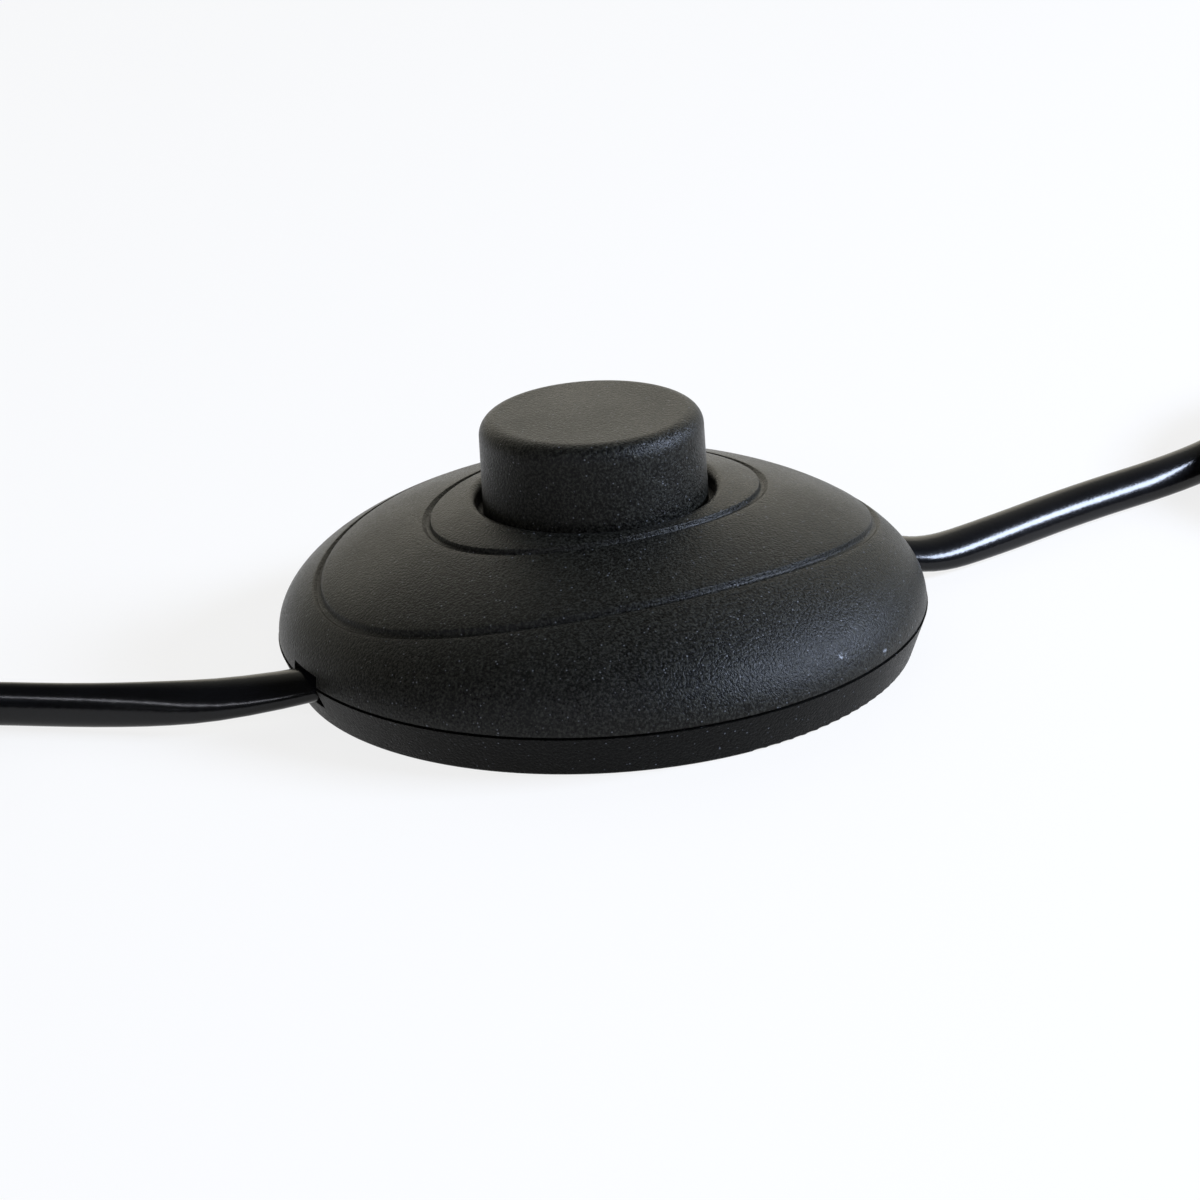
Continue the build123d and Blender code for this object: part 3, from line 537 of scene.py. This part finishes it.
def eroded_plastic(name, dark, pale, gloss=0.16, scuffs=()):
    """Black moulding with a spark-eroded grain, painted glints, dust and a few scuffs."""
    material, shader, coords = new_material(name)
    grain = add(material, "TexNoise", {"Vector": coords, "Scale": 1 / (GRAIN_MM * MM),
                                       "Detail": 2.0, "Roughness": 0.7}).outputs["Fac"]
    pebbles = add(material, "TexVoronoi", {"Vector": coords, "Scale": 1 / (GRAIN_MM * MM)})
    cloud = add(material, "TexNoise", {"Vector": coords, "Scale": 1 / (14 * MM),
                                       "Detail": 4.0}).outputs["Fac"]
    contrast = ramp(material, grain, [(0.44, level(0)), (0.66, level(1))])
    tone = add(material, "Mix", {"Factor": contrast, "A": colour(dark), "B": colour(pale)},
               data_type="RGBA").outputs["Result"]
    # Painted glints: pale bluish dots at the centres of a few grain cells, put into the colour to
    # stand in for glints of light.
    pick = add(material, "SeparateColor", {"Color": pebbles.outputs["Color"]}).outputs["Red"]
    glint_cells = ramp(material, pick, [(0.95, level(0)), (0.98, level(0.8))])
    middle = ramp(material, pebbles.outputs["Distance"], [(0.18, level(1)), (0.40, level(0))])
    painted_glint = add(material, "Math", {0: glint_cells, 1: middle}, operation="MULTIPLY").outputs[0]
    tone = add(material, "Mix", {"Factor": painted_glint, "A": tone, "B": colour("6A6C70")},
               data_type="RGBA").outputs["Result"]
    specks = add(material, "TexVoronoi", {"Vector": coords, "Scale": 1 / (2.6 * MM)})
    dust = ramp(material, specks.outputs["Distance"], [(0.0, level(0.6)), (0.04, level(0))])
    tone = add(material, "Mix", {"Factor": dust, "A": tone, "B": colour("9A9890")},
               data_type="RGBA").outputs["Result"]
    scratch = add(material, "TexNoise", {"Vector": coords, "Scale": 1 / (0.8 * MM),
                                         "Detail": 4.0, "Roughness": 0.75}).outputs["Fac"]
    for place, reach in scuffs:
        marks = masked_scuff(material, coords, place, reach, scratch)
        tone = add(material, "Mix", {"Factor": marks, "A": tone, "B": colour("8E9196")},
                   data_type="RGBA").outputs["Result"]
    broad = add(material, "MapRange", {"Value": cloud, "From Min": 0.3, "From Max": 0.7,
                                       "To Min": PLASTIC_ROUGHNESS - 0.05,
                                       "To Max": PLASTIC_ROUGHNESS + 0.06})
    uneven = add(material, "MapRange", {"Value": grain, "From Min": 0.3, "From Max": 0.7,
                                        "To Min": -0.10, "To Max": 0.10}).outputs["Result"]
    rough_map = add(material, "Math", {0: broad.outputs["Result"], 1: uneven},
                    operation="ADD").outputs[0]
    bump = add(material, "Bump", {"Height": grain, "Strength": 1.0, "Distance": 0.14 * MM})
    plug_in(material, shader, Base_Color=tone, Roughness=rough_map,
            Normal=bump.outputs["Normal"], IOR=1.53, Specular_IOR_Level=gloss)
    return material


housing_finish = eroded_plastic(
    "spark_eroded_polyamide", "050504", "2B2B26",
    scuffs=[((13.0, -36.8, 8.6), 2.6), ((2.5, -38.6, 8.0), 2.4), ((19.8, -34.0, 6.6), 2.2)])
# The base's copy is painted shade: the same polyamide with darker colours than the housing's, and
# less gloss, for the base's dark look low down by the floor.
shaded_base_finish = eroded_plastic("spark_eroded_polyamide_base_painted_shade", "0A0A09", "171715", gloss=0.05)
button_finish = eroded_plastic("spark_eroded_polyamide_button", "050504", "2B2B26")


# %% [markdown]
# ## Finish: smooth plastics
# The cord's jacket is extruded PVC with plasticiser, which comes out smooth, glossy and very
# black, with one clean line of light along it. Slow waves from the extrusion and a fine
# unevenness break that line up a little. The plug and the inner parts are moulded without a
# grain, and the same surface suits them with less gloss.

# %% Cord jacket, plug and cores
def smooth_plastic(name, tint, rough, wave_mm, wave_depth, gloss=0.5):
    """Extruded or moulded plastic without a grain, with slow waves and a fine unevenness."""
    material, shader, coords = new_material(name)
    waves = add(material, "TexNoise", {"Vector": coords, "Scale": 1 / (wave_mm * MM),
                                       "Detail": 2.0})
    fine = add(material, "TexNoise", {"Vector": coords, "Scale": 1 / (0.5 * MM), "Detail": 3.0})
    tone = add(material, "Mix", {"Factor": waves.outputs["Fac"], "A": colour(tint[0]),
                                 "B": colour(tint[1])}, data_type="RGBA")
    rough_map = add(material, "MapRange", {"Value": fine.outputs["Fac"], "To Min": rough - 0.05,
                                           "To Max": rough + 0.07})
    slow = add(material, "Bump", {"Height": waves.outputs["Fac"], "Strength": 0.4,
                                  "Distance": wave_depth * MM})
    bump = add(material, "Bump", {"Height": fine.outputs["Fac"], "Strength": 0.4,
                                  "Distance": 0.03 * MM, "Normal": slow.outputs["Normal"]})
    plug_in(material, shader, Base_Color=tone.outputs["Result"],
            Roughness=rough_map.outputs["Result"], Normal=bump.outputs["Normal"], IOR=1.53,
            Specular_IOR_Level=gloss)
    return material


jacket_finish = smooth_plastic("glossy_black_pvc", ("0A0A0B", "111112"), 0.16, 5.0, 0.03,
                               gloss=0.24)
plug_finish = smooth_plastic("moulded_black_pvc", ("121213", "1A1A1B"), 0.42, 3.0, 0.06)
brown_finish = smooth_plastic("brown_core_pvc", ("4A2A18", "5A3520"), 0.35, 3.0, 0.05)
blue_finish = smooth_plastic("blue_core_pvc", ("1E4E93", "2A5CA4"), 0.35, 3.0, 0.05)


# %% [markdown]
# ## Finish: plated and drawn metal
# Screws are zinc-plated steel, the contacts and connector are brass stampings, the spring is
# drawn steel wire, the strands are copper and the plug's pins are nickel-plated brass. Each is
# one metal with fine handling marks: a stretched noise makes drawn or brushed lines, and a
# broader one varies the gloss.

# %% Metals
def metal(name, tints, rough, line_mm=0.4, stretch=(1, 1, 1)):
    """A metal with two near tints, fine marks and uneven gloss."""
    material, shader, coords = new_material(name)
    stretched = add(material, "Mapping", {"Vector": coords, "Scale": stretch})
    lines = add(material, "TexNoise", {"Vector": stretched.outputs["Vector"],
                                       "Scale": 1 / (line_mm * MM), "Detail": 3.0})
    patches = add(material, "TexNoise", {"Vector": coords, "Scale": 1 / (5 * MM), "Detail": 2.0})
    tone = add(material, "Mix", {"Factor": patches.outputs["Fac"], "A": colour(tints[0]),
                                 "B": colour(tints[1])}, data_type="RGBA")
    rough_map = add(material, "MapRange", {"Value": lines.outputs["Fac"], "From Min": 0.3,
                                           "From Max": 0.7, "To Min": rough - 0.06,
                                           "To Max": rough + 0.08})
    bump = add(material, "Bump", {"Height": lines.outputs["Fac"], "Strength": 0.25,
                                  "Distance": 0.02 * MM})
    plug_in(material, shader, Base_Color=tone.outputs["Result"], Metallic=1.0,
            Roughness=rough_map.outputs["Result"], Normal=bump.outputs["Normal"])
    return material


brass_finish = metal("stamped_brass", ("B08D4A", "C9A55C"), 0.32)
spring_finish = metal("drawn_spring_steel", ("8D8F92", "A3A5A8"), 0.30)
screw_finish = metal("zinc_plated_steel", ("A9ABAE", "C2C3C4"), 0.36)
copper_finish = metal("stranded_copper", ("B4694A", "CB8060"), 0.34, 0.3, (6, 1, 1))
nickel_finish = metal("nickel_plated_brass", ("B9B4A8", "CFCBC1"), 0.22, 0.5, (1, 0.1, 1))


# %% [markdown]
# ## Finish: moulded inner parts
# Inside, each part has its own moulding compound: a cream rotor and a grey driver of acetal, a
# cup of natural nylon and clamps of black nylon. They have an even satin gloss with faint flow
# marks.

# %% Inner mouldings
rotor_finish = smooth_plastic("cream_acetal", ("D8D2C2", "E4DFD1"), 0.38, 4.0, 0.03)
driver_finish = smooth_plastic("grey_acetal", ("8F9295", "9DA0A3"), 0.38, 4.0, 0.03)
cup_finish = smooth_plastic("natural_nylon", ("C9C3B2", "D6D1C2"), 0.42, 4.0, 0.03)
clamp_finish = smooth_plastic("black_nylon", ("161616", "1F1F1E"), 0.45, 3.0, 0.03)


# %% Put the finishes on the pieces
def dress(piece, material):
    """Gives a piece, or every slot of a CAD node, one material."""
    if not piece.material_slots:
        piece.data.materials.append(material)
    for slot in piece.material_slots:
        slot.material = material


for piece in (supply_cord, lamp_cord):
    dress(piece, jacket_finish)
dress(cover, housing_finish)
dress(spring, spring_finish)
finishes = {
    shaded_base_finish: ["base_shell"],
    button_finish: ["button"],
    plug_finish: ["plug_body", "plug_sleeves"],
    brown_finish: ["live_core_in", "live_core_out", "live_core_end"],
    blue_finish: ["neutral_core_in", "neutral_core_out", "neutral_core_end"],
    brass_finish: ["contact_in", "contact_out", "contact_bridge", "neutral_connector"],
    spring_finish: ["pivot_clip"],
    screw_finish: ["connector_screws", "clamp_screws", "cup_screws", "terminal_screws",
                   "housing_screws"],
    copper_finish: ["conductor_ends", "conductor_tips"],
    nickel_finish: ["plug_pins"],
    rotor_finish: ["ratchet_rotor"],
    driver_finish: ["ratchet_driver"],
    cup_finish: ["switch_cup"],
    clamp_finish: ["cord_clamp_in", "cord_clamp_out"],
}
for material, names in finishes.items():
    for name in names:
        dress(nodes[name], material)


# %% [markdown]
# ## Floor and light
# The photograph is cut out on white and its light comes mostly from behind: faces that look up
# mirror a bright backdrop at a low angle and turn grey, while the front stays nearly black. So
# the world is bright behind the object and dim in front of it, and a large lamp hangs behind. A
# cool softbox stands on the right, whose gloss lies on the dome's right side and the right-hand
# cord, and a long thin strip light on the left gives the left-hand cord its line. The floor is a
# pale card. It shows nearly white to the camera and in reflections, and keeps the soft shadow.

# %% Floor
WHITE_SHARE = 0.82
bpy.ops.object.select_all(action="DESELECT")
bpy.ops.mesh.primitive_plane_add(size=6, location=(0, 0, 0))
floor = bpy.context.object
floor.name = "floor"
floor_finish, floor_shader, _ = new_material("pale_card")
plug_in(floor_finish, floor_shader, Base_Color=colour("F0F0F0"), Roughness=0.95,
        Specular_IOR_Level=0.1)
rays = add(floor_finish, "LightPath").outputs
seen = add(floor_finish, "Math", {0: rays["Is Camera Ray"], 1: rays["Is Glossy Ray"]},
           operation="ADD").outputs[0]
seen = add(floor_finish, "Math", {0: seen, 1: rays["Is Transmission Ray"]},
           operation="ADD", use_clamp=True).outputs[0]
share = add(floor_finish, "Math", {0: seen, 1: WHITE_SHARE}, operation="MULTIPLY").outputs[0]
glow = add(floor_finish, "Emission", {"Color": colour("FFFFFF"), "Strength": 1.0})
blend = add(floor_finish, "MixShader", {"Fac": share, 1: floor_shader.outputs["BSDF"],
                                        2: glow.outputs["Emission"]})
surface = floor_finish.node_tree.nodes["Material Output"].inputs["Surface"]
floor_finish.node_tree.links.new(blend.outputs[0], surface)
dress(floor, floor_finish)

# %% World and lamps
BACKDROP_WAY, DIM, BRIGHT = (0.28, 0.90, -0.05), 0.04, 0.76
world = bpy.data.worlds.new("studio")
bpy.context.scene.world = world
world.use_nodes = True
sky = world.node_tree.nodes["Background"]
direction = add(world, "TexCoord").outputs["Generated"]
behind = add(world, "VectorMath", {0: direction, 1: BACKDROP_WAY},
             operation="DOT_PRODUCT").outputs["Value"]
bright = add(world, "MapRange", {"Value": behind, "From Min": -0.1, "From Max": 0.9,
                                 "To Min": DIM, "To Max": BRIGHT},
             interpolation_type="SMOOTHSTEP")
from_camera = add(world, "LightPath").outputs["Is Camera Ray"]
strength = add(world, "Math", {0: bright.outputs["Result"], 1: from_camera},
               operation="MAXIMUM").outputs[0]
world.node_tree.links.new(strength, sky.inputs["Strength"])
tint = add(world, "Mix", {"Factor": from_camera, "A": colour("FFFDEE"), "B": colour("FFFFFF")},
           data_type="RGBA").outputs["Result"]
plug_in(world, sky, Color=tint)


def lamp(name, place, aim, size, power, tint):
    """An area lamp at `place`, pointed at `aim`, with a size (width, height), all in metres."""
    data = bpy.data.lights.new(name, "AREA")
    data.shape = "RECTANGLE"
    data.size, data.size_y, data.energy, data.color = *size, power, colour(tint)[:3]
    light = bpy.data.objects.new(name, data)
    bpy.context.scene.collection.objects.link(light)
    light.location = place
    light.rotation_euler = (Vector(aim) - Vector(place)).to_track_quat("-Z", "Y").to_euler()


lamp("back_lamp", (0.45, 1.05, 0.50), (0, 0, 0), (1.2, 0.8), 2.5, "FFF6E6")
lamp("right_softbox", (0.74, -0.48, 0.47), (0, 0, 0.01), (0.54, 0.20), 20, "D6E4FF")
lamp("front_strip", (-0.62, -0.66, 0.46), (0, 0, 0.01), (1.1, 0.035), 2.6, "F2F4FF")

bpy.context.scene.view_settings.view_transform = "Standard"

# %% Finish
bpy.context.view_layer.update()
